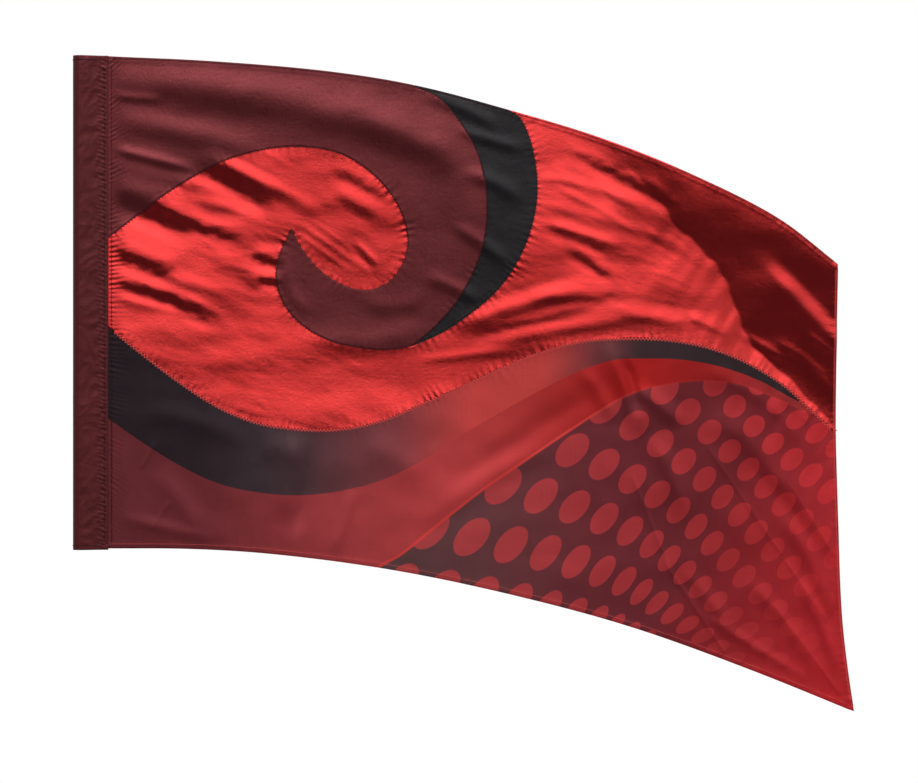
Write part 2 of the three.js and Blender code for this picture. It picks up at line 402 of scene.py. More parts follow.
def noise(x, z, cell, seed):
    turn = np.random.default_rng(seed).uniform(0, 2 * math.pi, (128, 128))
    gx, gz = np.cos(turn), np.sin(turn)
    u, v = x / cell, z / cell
    iu, iv = np.floor(u).astype(int), np.floor(v).astype(int)
    fu, fv = u - iu, v - iv
    wu, wv = fu ** 3 * (fu * (fu * 6 - 15) + 10), fv ** 3 * (fv * (fv * 6 - 15) + 10)

    def corner(du, dv):
        a, b = (iu + du) % 128, (iv + dv) % 128
        return gx[a, b] * (fu - du) + gz[a, b] * (fv - dv)

    low = corner(0, 0) * (1 - wu) + corner(1, 0) * wu
    high = corner(0, 1) * (1 - wu) + corner(1, 1) * wu
    return (low * (1 - wv) + high * wv) * 1.5


def crumple(x, z, cell, seed):
    return 1 - 2.4 * np.abs(noise(x + 7 * noise(x, z, cell * 1.7, seed + 1), z, cell, seed))


# How far along a stroke a point lies, from 0 to 1, and how far to its left.
def placeBy(x, z, stroke):
    x1, z1, x2, z2 = stroke[:4]
    run = math.dist((x1, z1), (x2, z2))
    ux, uz = (x2 - x1) / run, (z2 - z1) / run
    return ((x - x1) * ux + (z - z1) * uz) / run, (z - z1) * ux - (x - x1) * uz


def strokeHeight(x, z, stroke, leaning):
    bow, amount, width = stroke[4:]
    t, side = placeBy(x, z, stroke)
    side = side - bow * 4 * t * (1 - t)
    ends = fade(t, -0.12, 0.28) * (1 - fade(t, 0.72, 1.12))
    return amount * ends * np.exp(-(side / width) ** 2) * (side if leaning else 1)


def addStrokes(height, x, z, strokes, leaning=False):
    for stroke in strokes:
        x1, z1, x2, z2, bow, amount, width = stroke
        spare = 0.15 * math.dist((x1, z1), (x2, z2)) + abs(bow) + 2.6 * width
        c0, c1 = np.searchsorted(gridX, (min(x1, x2) - spare, max(x1, x2) + spare))
        r0, r1 = np.searchsorted(gridZ, (min(z1, z2) - spare, max(z1, z2) + spare))
        height[r0:r1, c0:c1] += strokeHeight(x[r0:r1, c0:c1], z[r0:r1, c0:c1], stroke, leaning)


def insideRows(outline, xs, zs):
    mask = np.zeros((len(zs), len(xs)), bool)
    a, b = outline, np.roll(outline, -1, axis=0)
    for row, z in enumerate(zs):
        crosses = (a[:, 1] <= z) != (b[:, 1] <= z)
        p, q = a[crosses], b[crosses]
        cuts = np.sort(p[:, 0] + (z - p[:, 1]) / (q[:, 1] - p[:, 1]) * (q[:, 0] - p[:, 0]))
        mask[row] = np.searchsorted(cuts, xs) % 2 == 1
    return mask


def towardSleeve(line):
    first, second = line[0], line[4]
    start = first + (second - first) * (pattern["insideSleeve"] - first[0]) / (second[0] - first[0])
    return np.vstack([straightLine(start, first)[:-1], line])


def taper(line, atStart, atEnd):
    reach, over = lengthAlong(line), pattern["seamEnds"]
    amount = np.full(len(line), float(pattern["allowance"]))
    if atStart:
        amount *= fade(reach, 0, over)
    if atEnd:
        amount *= fade(reach[-1] - reach, 0, over)
    return amount


longTop, longBottom = towardSleeve(topEdge), towardSleeve(bottomEdge)
longCurl, longPrint = towardSleeve(curlInside), towardSleeve(printSeam)
topAtSwirl = crescentInside[-1, 0]
topAtLame = crescentOutside[-1, 0]
flyAtPrint = printSeam[-1, 1]

outlines = {
    "swirl": np.vstack([
        longCurl, curlOutside[1:], crescentInside[1:], longTop[longTop[:, 0] < topAtSwirl][::-1],
    ]),
    "crescent": np.vstack([
        crescentOutside, topEdge[(topEdge[:, 0] < topAtLame) & (topEdge[:, 0] > topAtSwirl - 4)][::-1],
        leftOf(crescentInside, taper(crescentInside, True, False))[1:][::-1],
    ]),
    "print": np.vstack([
        longBottom, flyEdge[(flyEdge[:, 1] < flyAtPrint + pattern["allowance"])][::-1][1:],
        leftOf(longPrint, pattern["allowance"])[::-1],
    ]),
    "lame": np.vstack([
        longPrint, flyEdge[flyEdge[:, 1] > flyAtPrint][::-1],
        topEdge[topEdge[:, 0] > topAtLame - 3][::-1][1:],
        leftOf(crescentOutside, taper(crescentOutside, True, False))[1:][::-1],
        leftOf(curlOutside, taper(curlOutside, True, True))[1:][::-1],
        leftOf(longCurl, taper(longCurl, False, True))[::-1],
    ]),
}

# the height of the cloth on a fine grid over the whole fly

gridStep, farAway = 2.0, 1e3
gridX = np.arange(30, 1450, gridStep)
gridZ = np.arange(-320, 930, gridStep)


def treeOf(line):
    tree = kdtree.KDTree(len(line))
    for i, (x, z) in enumerate(line):
        tree.insert((x, z, 0), i)
    tree.balance()
    return tree


# The distance to a line and the length along it, for the wanted points that may be within reachAcross.
def nearestAlong(line, reachAcross, x, z, wanted):
    tree = treeOf(line)
    origin = np.array((gridX[0], gridZ[0]))
    away = np.full(x.shape, farAway)
    along = np.zeros(x.shape)
    near = np.zeros(x.shape, bool)
    for point in line[::6]:
        low = [max(int(v), 0) for v in (point - origin - reachAcross) / gridStep]
        high = [int(v) + 1 for v in (point - origin + reachAcross) / gridStep]
        near[low[1]:high[1], low[0]:high[0]] = True
    near &= wanted
    reach = lengthAlong(line)
    for r, c in zip(*np.nonzero(near)):
        _, i, d = tree.find((x[r, c], z[r, c], 0))
        away[r, c] = d
        along[r, c] = reach[i]
    return away, along


# The corner is laid out in a frame turned with its top edge: run goes down along it, rise is square to it.
def cornerHeight(x, z):
    turn = math.radians(corner["turn"])

    def turned(px, pz):
        return px * math.cos(turn) - pz * math.sin(turn), px * math.sin(turn) + pz * math.cos(turn)

    run, rise = turned(x, z)
    foot = smoothLine(corner["foot"], 4)
    footRun, footRise = turned(foot[:, 0], foot[:, 1])
    below = np.maximum(np.interp(run, footRun, footRise) + 6 * noise(run, rise * 0.4, 30, 81) - rise, 0)
    depth = np.maximum((topAt(x) - z) * math.cos(turn) - below, 0)
    flat = corner["flatTop"]
    sloping = depth - flat * (1 - np.exp(-depth / flat))
    t, side = placeBy(x, z, corner["fold"])
    step = corner["foldStep"] * fade(-side, -corner["foldWidth"], corner["foldWidth"]) * fade(t, -0.1, 0.45)
    leaning = corner["forward"] * fade(x, 930, 1120) - corner["slope"] * sloping + step
    return leaning * np.exp(-below / corner["returnsOver"]) * fade(x, 900, 1010)


def clothHeights():
    x, z = np.meshgrid(gridX, gridZ)
    covered = (z < topAt(x) + 6) & (z > bottomAt(x) - 6) & (x < flyAt(z) + 6)
    inLame = insideRows(outlines["lame"], gridX, gridZ)
    inSilk = insideRows(outlines["swirl"], gridX, gridZ) | insideRows(outlines["crescent"], gridX, gridZ)
    height = np.zeros(x.shape)
    for name, group in folds.items():
        depths = np.zeros(x.shape)
        addStrokes(depths, x, z, group)
        height += depths * foldStrength[name]
    bands = np.zeros(x.shape)
    addStrokes(bands, x, z, leans, leaning=True)
    broken = np.clip(np.gradient(bands, gridStep, axis=0) / 0.2, 0, 1)
    height += bands + np.where(inLame, broken * (0.25 * crumple(x, z, 9, 91) + 0.9 * noise(x, z, 22, 92)), 0)
    height += cornerHeight(x, z)
    height += 4 * np.sin((x * 0.35 + z) / 118) * fade(x, 150, 500) * (1 - fade(x, 800, 1100))
    height += 1.5 * noise(x * 0.6, z, 95, 3) + 0.7 * noise(x * 0.7, z, 46, 4)
    # thin lame crumples where it is pulled, silk hardly does
    pulled = 0.5 + 0.5 * noise(x, z, 120, 9)
    turned = np.arctan2(z - 410, 1330 - x) * 420
    toward = np.hypot(z - 410, 1330 - x) * 0.3
    right = fade(x, 560, 720)
    along = (x * 0.45 + z * 0.2) * (1 - right) + toward * right
    across = (z + x * 0.22) * (1 - right) + turned * right
    fine = 0.26 * crumple(along, across, 30, 11) + 0.11 * crumple(along, across, 13, 21)
    height += np.where(inLame, (0.2 + 0.8 * pulled) * fine * (1 - 0.75 * fade(x, 1060, 1160)), 0)
    height += np.where(inSilk, 0.22 * crumple(x * 0.6, z, 34, 31) * pulled, 0)
    height += np.where(~(inLame | inSilk), 0.22 * crumple(x, z * 0.6, 30, 41) * pulled, 0)
    thin = np.zeros(x.shape)
    for line in creases:
        t, side = placeBy(x, z, line)
        ends = fade(t, -0.02, 0.1) * (1 - fade(t, 0.9, 1.02))
        thin += crease["height"] * np.exp(-np.abs(side) / crease["width"]) * ends
    height += thin
    # the sleeve holds the cloth flat, in small gathers
    height *= fade(x, flyAxis - 4, flyAxis + 34)
    rise = (z - 440) / 300
    phase = (z - rise * 0.5 * (x - flyAxis)) / 1.35 + 3.0 * noise(x * 0.1, z, 30, 51)
    strong = np.clip(0.5 + 1.2 * noise(x * 0.05, z, 40, 52), 0, 1) * np.where(inLame, 1.0, 0.85)
    height += 0.95 * np.sin(phase) * strong * np.exp(-np.maximum(x - flyAxis, 0) / 15) * fade(
        x, flyAxis - 3, flyAxis + 5)
    for name, (line, period, depth, width) in seams.items():
        away, along = nearestAlong(line, width * 3, x, z, covered)
        wander = 6 * noise(along * 0.5, away * 0.2, 24, 61 + len(name))
        strength = 0.35 + 0.65 * noise(along, away * 0, 70, 71 + len(name)) ** 2 * 3
        ripple = np.sin(2 * math.pi * along / period + wander)
        height += np.where(away < farAway, depth * strength * ripple * np.exp(-away / width), 0)
        if name.endswith("Edge"):
            height += np.where(away < farAway, 0.35 * (1 - fade(away, 8, 12)), 0)
    # no fold stands higher than the sum of these two
    free, more = 17, 7
    beyond = np.maximum(np.abs(height) - free, 0)
    return np.sign(height) * (np.minimum(np.abs(height), free) + more * np.tanh(beyond / more))


heights = clothHeights()
print("cloth heights worked out")


def heightAt(x, z):
    u = np.clip((x - gridX[0]) / gridStep, 0, len(gridX) - 1.001)
    v = np.clip((z - gridZ[0]) / gridStep, 0, len(gridZ) - 1.001)
    i, j = u.astype(int), v.astype(int)
    fu, fv = u - i, v - j
    low = heights[j, i] * (1 - fu) + heights[j, i + 1] * fu
    high = heights[j + 1, i] * (1 - fu) + heights[j + 1, i + 1] * fu
    return low * (1 - fv) + high * fv


def onCloth(flat, level=0.0):
    return np.column_stack([flat[:, 0], level - heightAt(flat[:, 0], flat[:, 1]), flat[:, 1]])


# materials

# A group that takes the cloth's flat place and one size, and gives numbers.
def newGroup(name, size, outputs):
    group = bpy.data.node_groups.new(name, "ShaderNodeTree")
    group.interface.new_socket("Vector", in_out="INPUT", socket_type="NodeSocketVector")
    group.interface.new_socket(size, in_out="INPUT", socket_type="NodeSocketFloat")
    for label in outputs:
        group.interface.new_socket(label, in_out="OUTPUT", socket_type="NodeSocketFloat")
    start, end = group.nodes.new("NodeGroupInput"), group.nodes.new("NodeGroupOutput")
    return group, start.outputs["Vector"], start.outputs[size], end.inputs


# Plain weave: threads cross over and under, and some run thicker than others.
def makeWeave():
    group, vector, thread, results = newGroup("plainWeave", "Thread", ("Height", "Slub"))
    split = put(group, "SeparateXYZ", Vector=vector)
    counts = [sumOf(group, "DIVIDE", split.outputs[axis], thread) for axis in "XY"]
    waves = [sumOf(group, "SINE", sumOf(group, "MULTIPLY", count, math.pi)) for count in counts]
    over = sumOf(group, "GREATER_THAN", sumOf(group, "MULTIPLY", *waves), 0.0)
    warp, weft = [sumOf(group, "ABSOLUTE", wave) for wave in waves]
    height = put(group, "Mix", Factor=over, i2=weft, i3=warp)
    group.links.new(height.outputs[0], results["Height"])
    slubs = []
    for stretch in ((1100, 14, 1), (14, 1100, 1)):
        place = put(group, "VectorMath", "MULTIPLY", i0=vector, i1=stretch)
        slub = put(group, "TexNoise", Vector=place.outputs[0], Scale=1.0, Detail=3.0)
        slubs.append(slub.outputs[0])
    group.links.new(sumOf(group, "MULTIPLY", sumOf(group, "ADD", *slubs), 0.5), results["Slub"])
    return group


# Soft clouds and faint creases over a length of cloth.
def makeHandling():
    group, vector, size, results = newGroup("handledCloth", "Size", ("Cloud", "Crease"))
    cloud = put(group, "TexNoise", Vector=vector, Scale=size, Detail=4.0, Roughness=0.6)
    fold = put(group, "TexNoise", Vector=vector, Scale=sumOf(group, "MULTIPLY", size, 3.0),
               Detail=5.0, Roughness=0.55, Distortion=0.5)
    ridge = sumOf(group, "ABSOLUTE", sumOf(group, "SUBTRACT", fold.outputs[0], 0.5))
    group.links.new(cloud.outputs[0], results["Cloud"])
    group.links.new(sumOf(group, "SUBTRACT", 0.5, ridge), results["Crease"])
    return group


weave, handling = makeWeave(), makeHandling()


# Size and strength of the weave, strength and fineness of the creases, how far slubs and clouds shift the
# colour, how far slubs shift the roughness, and the specular level.
looks = {
    "silk": (0.0005, 0.35, 0.25, 20, 0.35, 0.15, 0.2, 0.5),
    "lame": (0.0006, 0.13, 0.15, 44, 0.3, 0.12, 0.16, 0.2),
    "satin": (0.0005, 0.3, 0.1, 20, 0.22, 0.1, 0.2, 0.25),
}


# The colour is one for the whole cloth, or a function that wires one up from the cloth's flat place.
def woven(name, look, colour, smoothest, metallic):
    material = bpy.data.materials.new(name)
    material.use_nodes = True
    tree = material.node_tree
    tree.nodes.clear()
    uv = put(tree, "UVMap")
    uv.uv_map = "cloth"
    flat = uv.outputs[0]
    size, weaveBump, creaseBump, creaseSize, slubShare, cloudShare, slubRough, specular = looks[look]
    cloth, used = put(tree, "Group"), put(tree, "Group")
    for node, group, label, value in ((cloth, weave, "Thread", size), (used, handling, "Size", creaseSize)):
        node.node_tree = group
        tree.links.new(flat, node.inputs["Vector"])
        node.inputs[label].default_value = value
    slub, cloud = cloth.outputs["Slub"], used.outputs["Cloud"]
    light = sumOf(tree, "MULTIPLY_ADD", slub, slubShare * 2, 1 - slubShare)
    patch = sumOf(tree, "MULTIPLY_ADD", cloud, cloudShare * 2, 1 - cloudShare)
    shaded = put(tree, "VectorMath", "SCALE", Scale=sumOf(tree, "MULTIPLY", light, patch),
                 i0=colour(tree, flat) if callable(colour) else colourOf(tree, colour))
    rough = put(tree, "Bump", Strength=weaveBump, Distance=size * 0.35,
                Height=cloth.outputs["Height"])
    creased = put(tree, "Bump", Strength=creaseBump, Distance=0.004, Height=used.outputs["Crease"],
                  Normal=rough.outputs[0])
    shader = put(tree, "BsdfPrincipled", Base_Color=shaded.outputs[0], Normal=creased.outputs[0],
                 Roughness=sumOf(tree, "MULTIPLY_ADD", slub, slubRough, smoothest), Metallic=metallic,
                 Specular_IOR_Level=specular)
    put(tree, "OutputMaterial", Surface=shader.outputs[0])
    return material


def thread(name, colour, metallic):
    material = bpy.data.materials.new(name)
    material.use_nodes = True
    tree = material.node_tree
    tree.nodes.clear()
    place = put(tree, "TexCoord").outputs["Object"]
    ply = put(tree, "TexNoise", Vector=place, Scale=900.0, Detail=2.0).outputs[0]
    tinted = put(tree, "VectorMath", "SCALE", i0=colourOf(tree, colour),
                 Scale=sumOf(tree, "MULTIPLY_ADD", ply, 0.8, 0.6))
    twist = put(tree, "Bump", Strength=0.5, Distance=0.0002, Height=ply)
    shader = put(tree, "BsdfPrincipled", Base_Color=tinted.outputs[0], Normal=twist.outputs[0],
                 Roughness=0.5, Metallic=metallic, Specular_IOR_Level=0.3)
    put(tree, "OutputMaterial", Surface=shader.outputs[0])
    return material


# The printed satin: a wave, a band with a bright line under it, and a field of dots that fades. The wave's ink
# holds a painted highlight where it lightens around 0.24 to 0.3. The stops of an ink run from 0 at the sleeve to
# 1 at the print's width, in metres.

printed = {
    "wave": [(30, 255), (53, 241), (109, 202), (183, 156), (257, 122), (331, 106), (405, 101), (480, 109),
             (554, 128), (628, 163), (702, 211), (776, 254), (850, 295), (925, 332), (990, 352), (1036, 354),
             (1110, 352), (1184, 339), (1258, 313), (1333, 274), (1390, 262), (1440, 262)],
    "band": [(500, -75), (554, -30), (591, -9), (665, 50), (739, 108), (813, 159), (888, 210), (962, 258),
             (999, 280), (1036, 295), (1073, 304), (1147, 313), (1221, 306), (1295, 278), (1345, 257),
             (1385, 250), (1440, 250)],
    "dotGrid": [[(724, 24), (917, -22), (1038, -78)],
                [(913, 297), (1073, 197), (1188, 98)],
                [(1147, 538), (1225, 352), (1327, 241)]],
    "dotRadius": 0.365,
    "width": 1.4,
    "inksAndHighlight": {
        # the dark wave lightens around 0.24 to 0.3, a painted highlight of a fold; after that it runs into its
        # printed red
        "wave": [(0.03, (38, 27, 32)), (0.16, (41, 30, 35)), (0.24, (58, 44, 49)), (0.3, (74, 48, 52)),
                 (0.42, (122, 54, 58)), (0.52, (192, 64, 60)), (0.61, (186, 62, 58)), (0.68, (108, 48, 51)),
                 (0.74, (58, 39, 42)), (0.82, (48, 34, 37)), (0.95, (34, 24, 27))],
        "band": [(0.03, (98, 38, 43)), (0.18, (110, 41, 46)), (0.33, (156, 56, 59)), (0.52, (176, 56, 57)),
                 (0.66, (166, 36, 35)), (0.74, (160, 22, 21)), (0.85, (148, 28, 29)), (0.95, (134, 36, 38))],
        "ground": [(0.38, (86, 60, 60)), (0.52, (96, 54, 57)), (0.66, (102, 40, 46)), (0.78, (104, 34, 40)),
                   (0.9, (110, 29, 35)), (0.98, (116, 29, 35))],
        "dots": [(0.4, (172, 63, 65)), (0.7, (164, 50, 54)), (0.85, (158, 41, 45)), (0.97, (178, 38, 43))],
    },
    "cornerInk": ink(178, 35, 41),
    "lineInk": ink(206, 60, 55),
    "lift": 1.44,
}


def belowLine(points, x, z):
    line = smoothLine(points, 4)
    z0 = np.interp(x, line[:, 0], line[:, 1])
    slope = np.interp(x, line[:, 0], np.gradient(line[:, 1], line[:, 0]))
    return (z0 - z) / np.sqrt(1 + slope ** 2)


# Where a point lies on the warped grid of dots: a patch through nine points, and straight beyond them.
def dotPlace(x, z):
    nodes = np.array(printed["dotGrid"], float)

    def weights(t):
        c = np.clip(t, 0, 6)
        value = np.array([(c - 3) * (c - 6) / 18, -c * (c - 6) / 9, c * (c - 3) / 18])
        slope = np.array([(2 * c - 9) / 18, -(2 * c - 6) / 9, (2 * c - 3) / 18])
        return value + slope * (t - c), slope

    i, j = np.full(x.shape, 3.0), np.full(x.shape, 3.0)
    for _ in range(40):
        wi, di = weights(i)
        wj, dj = weights(j)
        place = np.einsum("jp,ip,jik->pk", wj, wi, nodes)
        alongI = np.einsum("jp,ip,jik->pk", wj, di, nodes)
        alongJ = np.einsum("jp,ip,jik->pk", dj, wi, nodes)
        ex, ez = x - place[:, 0], z - place[:, 1]
        area = alongI[:, 0] * alongJ[:, 1] - alongI[:, 1] * alongJ[:, 0]
        area = np.where(np.abs(area) < 200, 200 * np.sign(area + 1e-9), area)
        i = i + np.clip((ex * alongJ[:, 1] - ez * alongJ[:, 0]) / area, -1, 1)
        j = j + np.clip((ez * alongI[:, 0] - ex * alongI[:, 1]) / area, -1, 1)
    return i, j


def mixColour(tree, factor, first, second):
    made = put(tree, "Mix")
    made.data_type = "RGBA"
    for k, wire in zip((0, 6, 7), (factor, first, second)):
        tree.links.new(wire, made.inputs[k])
    return made.outputs[2]


def readAttribute(tree, name):
    made = put(tree, "Attribute")
    made.attribute_name = name
    return made.outputs["Vector" if name == "dots" else "Fac"]


def printAndHighlightColour(tree, flat):
    split = put(tree, "SeparateXYZ", Vector=flat)
    x, z = split.outputs["X"], split.outputs["Y"]
    along = sumOf(tree, "DIVIDE", x, printed["width"])
    inksAndHighlight = {name: rampOf(tree, along, [(at, ink(*levels)) for at, levels in stops])
            for name, stops in printed["inksAndHighlight"].items()}
    belowWave, belowBand, dots = [readAttribute(tree, name) for name in ("belowWave", "belowBand", "dots")]
    moved = put(tree, "VectorMath", "ADD", i0=dots, i1=(0.5, 0.5, 0))
    cell = put(tree, "VectorMath", "FRACTION", i0=moved.outputs[0])
    centred = put(tree, "VectorMath", "SUBTRACT", i0=cell.outputs[0], i1=(0.5, 0.5, 0))
    fromDot = put(tree, "VectorMath", "LENGTH", i0=centred.outputs[0]).outputs["Value"]
    dot = rangeOf(tree, fromDot, printed["dotRadius"] - 0.008, printed["dotRadius"] + 0.008, 1.0, 0.0)
    # the lower right corner is soaked in red, and the dots sink into it
    outside = rangeOf(tree, sumOf(tree, "SUBTRACT", x, sumOf(tree, "MULTIPLY", z, 0.55)), 1.13, 1.5, 1.0, 0.0)
    field = mixColour(tree, outside, colourOf(tree, printed["cornerInk"]), inksAndHighlight["ground"])
    dotField = mixColour(tree, sumOf(tree, "MULTIPLY", dot, 0.95), field, inksAndHighlight["dots"])
    # the bright line fades towards the fly
    line = rangeOf(tree, sumOf(tree, "ABSOLUTE", belowBand), 0.0012, 0.0036, 1.0, 0.0)
    early = rangeOf(tree, x, 0.9, 1.05, 0.9, 0.12)
    lower = mixColour(tree, rangeOf(tree, belowBand, -0.0004, 0.0004), inksAndHighlight["band"], dotField)
    lined = mixColour(tree, sumOf(tree, "MULTIPLY", line, early), lower, colourOf(tree, printed["lineInk"]))
    # the wave's ink carries a painted highlight as well as the print
    whole = mixColour(tree, rangeOf(tree, belowWave, -0.0004, 0.0004), inksAndHighlight["wave"], lined)
    return put(tree, "VectorMath", "SCALE", i0=whole, Scale=printed["lift"]).outputs[0]


materials = {
    "maroon_silk": woven("maroonSilk", "silk", (0.21, 0.034, 0.039, 1), 0.23, 0.75),
    # The sleeve is the same maroon silk; this copy's darker base colour is painted shade.
    "shaded_sleeve_silk": woven("shadedSleeveSilk", "silk", (0.145, 0.022, 0.025, 1), 0.26, 0.7),
    "black_silk": woven("blackSilk", "silk", (0.022, 0.019, 0.021, 1), 0.23, 0.55),
    "red_lame": woven("redLame", "lame", (1.0, 0.068, 0.066, 1), 0.15, 0.95),
    "printed_satin": woven("printedSatin", "satin", printAndHighlightColour, 0.26, 0.45),
    "maroon_thread": thread("maroonThread", ink(54, 16, 20), 0.0),
    "red_thread": thread("redThread", (1.0, 0.13, 0.12, 1), 0.3),
    "black_thread": thread("blackThread", ink(40, 36, 38), 0.0),
}
print("materials made")

# cloth panels

def pieceFrom(name, points, faces, slot, uv=None):
    mesh = bpy.data.meshes.new(name)
    mesh.from_pydata((points * mm).tolist(), [], faces)
    mesh.materials.append(materials[slot])
    if uv is None:
        uv = points[:, (0, 2)]
    layer = mesh.uv_layers.new(name="cloth")
    corners = np.empty(len(mesh.loops), np.int32)
    mesh.loops.foreach_get("vertex_index", corners)
    layer.data.foreach_set("uv", (uv[corners] * mm).astype(np.float32).ravel())
    mesh.shade_smooth()
    piece = bpy.data.objects.new(name, mesh)
    bpy.context.scene.collection.objects.link(piece)
    return piece


def thicken(piece, thickness):
    solid = piece.modifiers.new("thickness", "SOLIDIFY")
    solid.thickness = thickness * mm
    solid.offset = 0
    solid.use_even_offset = False
    bpy.ops.object.select_all(action="DESELECT")
    bpy.context.view_layer.objects.active = piece
    piece.select_set(True)
    bpy.ops.object.modifier_apply(modifier=solid.name)
    piece.select_set(False)


def latticeIn(outline, step):
    rows = np.arange(outline[:, 1].min(), outline[:, 1].max(), step * 0.866)
    columns = np.arange(outline[:, 0].min(), outline[:, 0].max(), step)
    found = []
    for k in (0, 1):
        shifted = columns + k * step / 2
        inside = insideRows(outline, shifted, rows[k::2])
        r, c = np.nonzero(inside)
        found.append(np.column_stack([shifted[c], rows[k::2][r]]))
    return np.vstack(found)


def distanceTo(line, points):
    tree = treeOf(line)
    return np.array([tree.find((x, z, 0))[2] for x, z in points])


def fillOutline(outline, sharpLines=()):
    edge = resample(np.vstack([outline, outline[:1]]), pattern["fineStep"])[:-1]
    fine = latticeIn(outline, pattern["fineStep"])
    away = distanceTo(edge, fine)
    bySleeve = fine[:, 0] < flyAxis + pattern["sleeveBand"]
    fine = fine[(away > pattern["fineStep"] * 0.7) & ((away < pattern["fineBand"]) | bySleeve)]
    coarse = latticeIn(outline, pattern["coarseStep"])
    bySleeve = coarse[:, 0] < flyAxis + pattern["sleeveBand"]
    coarse = coarse[(distanceTo(edge, coarse) >= pattern["fineBand"]) & ~bySleeve]
    flat = np.vstack([fine, coarse])
    for line in sharpLines:
        flat = flat[distanceTo(line, flat) > crease["clear"]]
        flat = np.vstack([flat] + [leftOf(line, side) for side in (-crease["beside"], 0, crease["beside"])])
    flat = np.vstack([edge, flat])
    ring = [(i, (i + 1) % len(edge)) for i in range(len(edge))]
    made = geometry.delaunay_2d_cdt([tuple(p) for p in flat.tolist()], ring, [], 1, 1e-5)
    points = np.array([tuple(p) for p in made[0]])
    faces = [list(f) for f in made[2]]
    a, b, c = (points[[f[k] for f in faces]] for k in range(3))
    turn = (b[:, 0] - a[:, 0]) * (c[:, 1] - a[:, 1]) - (b[:, 1] - a[:, 1]) * (c[:, 0] - a[:, 0])
    return points, [f if t > 0 else f[::-1] for f, t in zip(faces, turn)]


# The turned cloth of a hem, a flat tube with a rolled fold: how far in from the edge, and how far back.
hemProfile = [(0.3, -0.28), (-0.25, -0.18), (-0.45, 0.2), (-0.25, 0.62), (0.4, 0.8), (9.4, 0.8), (9.9, 0.5),
              (9.4, 0.24), (0.8, 0.2)]


# Faces between rows of points. Either way can close on itself.
def quads(rows, columns, roundRows=False, roundColumns=False):
    return [[r * columns + c, r * columns + (c + 1) % columns,
             (r + 1) % rows * columns + (c + 1) % columns, (r + 1) % rows * columns + c]
            for r in range(rows - 1 + roundRows) for c in range(columns - 1 + roundColumns)]


def hemBand(line, side, level):
    line = resample(line, 3)
    points = np.concatenate([onCloth(leftOf(line, side * inset), level + away) for inset, away in hemProfile])
    n, m = len(line), len(hemProfile)
    caps = [[k * n for k in range(m)], [k * n + n - 1 for k in range(m)][::-1]]
    faces = quads(m, n, roundRows=True) + caps
    return points, faces if side > 0 else [face[::-1] for face in faces]


def joined(parts):
    points, faces, base = [], [], 0
    for somePoints, someFaces in parts:
        points.append(somePoints)
        faces.extend([[i + base for i in f] for f in someFaces])
        base += len(somePoints)
    return np.concatenate(points), faces


def solidSheet(flat, faces, level):
    half = pattern["clothThickness"] / 2
    front, back = onCloth(flat, level - half), onCloth(flat, level + half)
    count = len(flat)
    # a dictionary keeps the edges in order
    edges = {pair: True for a, b, c in faces for pair in ((a, b), (b, c), (c, a))}
    walls = [[q, p, p + count, q + count] for p, q in edges if (q, p) not in edges]
    return np.concatenate([front, back]), faces + [[i + count for i in f[::-1]] for f in faces] + walls


def clothPanel(name, outline, level, slot, hems, sharpLines=()):
    flat, faces = fillOutline(outline, sharpLines)
    parts = [solidSheet(flat, faces, level)] + [hemBand(line, side, level) for line, side in hems]
    points, allFaces = joined(parts)
    return pieceFrom(name, points, allFaces, slot)


def portion(line, low, high, axis=0):
    return line[(line[:, axis] > low) & (line[:, axis] < high)]


levels = pattern["levels"]
swirl = clothPanel("swirl_cloth", outlines["swirl"], levels["swirl"], "maroon_silk",
                   [(portion(longTop, 0, topAtSwirl), -1)])
crescent = clothPanel("crescent_cloth", outlines["crescent"], levels["crescent"], "black_silk",
                      [(portion(topEdge, topAtSwirl, topAtLame), -1)])
ground = clothPanel("lame_cloth", outlines["lame"], levels["lame"], "red_lame",
                    [(portion(topEdge, topAtLame, 1392), -1), (portion(flyEdge, flyAtPrint, 522, 1), -1)])
printCloth = clothPanel("print_cloth", outlines["print"], levels["print"], "printed_satin",
                        [(portion(flyEdge, -290, flyAtPrint, 1), -1), (portion(longBottom, 0, 1424), 1)],
                        [straightLine(line[:2], line[2:], pattern["fineStep"])[3:-3] for line in creases])
print("cloth panels made")


def markPrint(piece):
    mesh = piece.data
    co = np.empty(len(mesh.vertices) * 3, np.float32)
    mesh.vertices.foreach_get("co", co)
    co = co.reshape(-1, 3).astype(float) / mm
    x, z = co[:, 0], co[:, 2]
    for name, line in (("belowWave", printed["wave"]), ("belowBand", printed["band"])):
        values = belowLine(line, x, z) * mm
        mesh.attributes.new(name, "FLOAT", "POINT").data.foreach_set("value", values.astype(np.float32))
    i, j = dotPlace(x, z)
    values = np.column_stack([i, j, np.zeros(len(i))]).astype(np.float32)
    mesh.attributes.new("dots", "FLOAT_VECTOR", "POINT").data.foreach_set("vector", values.ravel())


markPrint(printCloth)

# sleeve

sleeve = {
    "poleRadius": 14.2,
    "tailStart": 40,
    "tailEnd": 50.8,
    "tailFront": 1.6,
    "tailTurned": 1.08,
    "turnedBackTo": 45,
    "ringStep": 2,
    "hem": 10,
    "hemInset": 0.55,
}


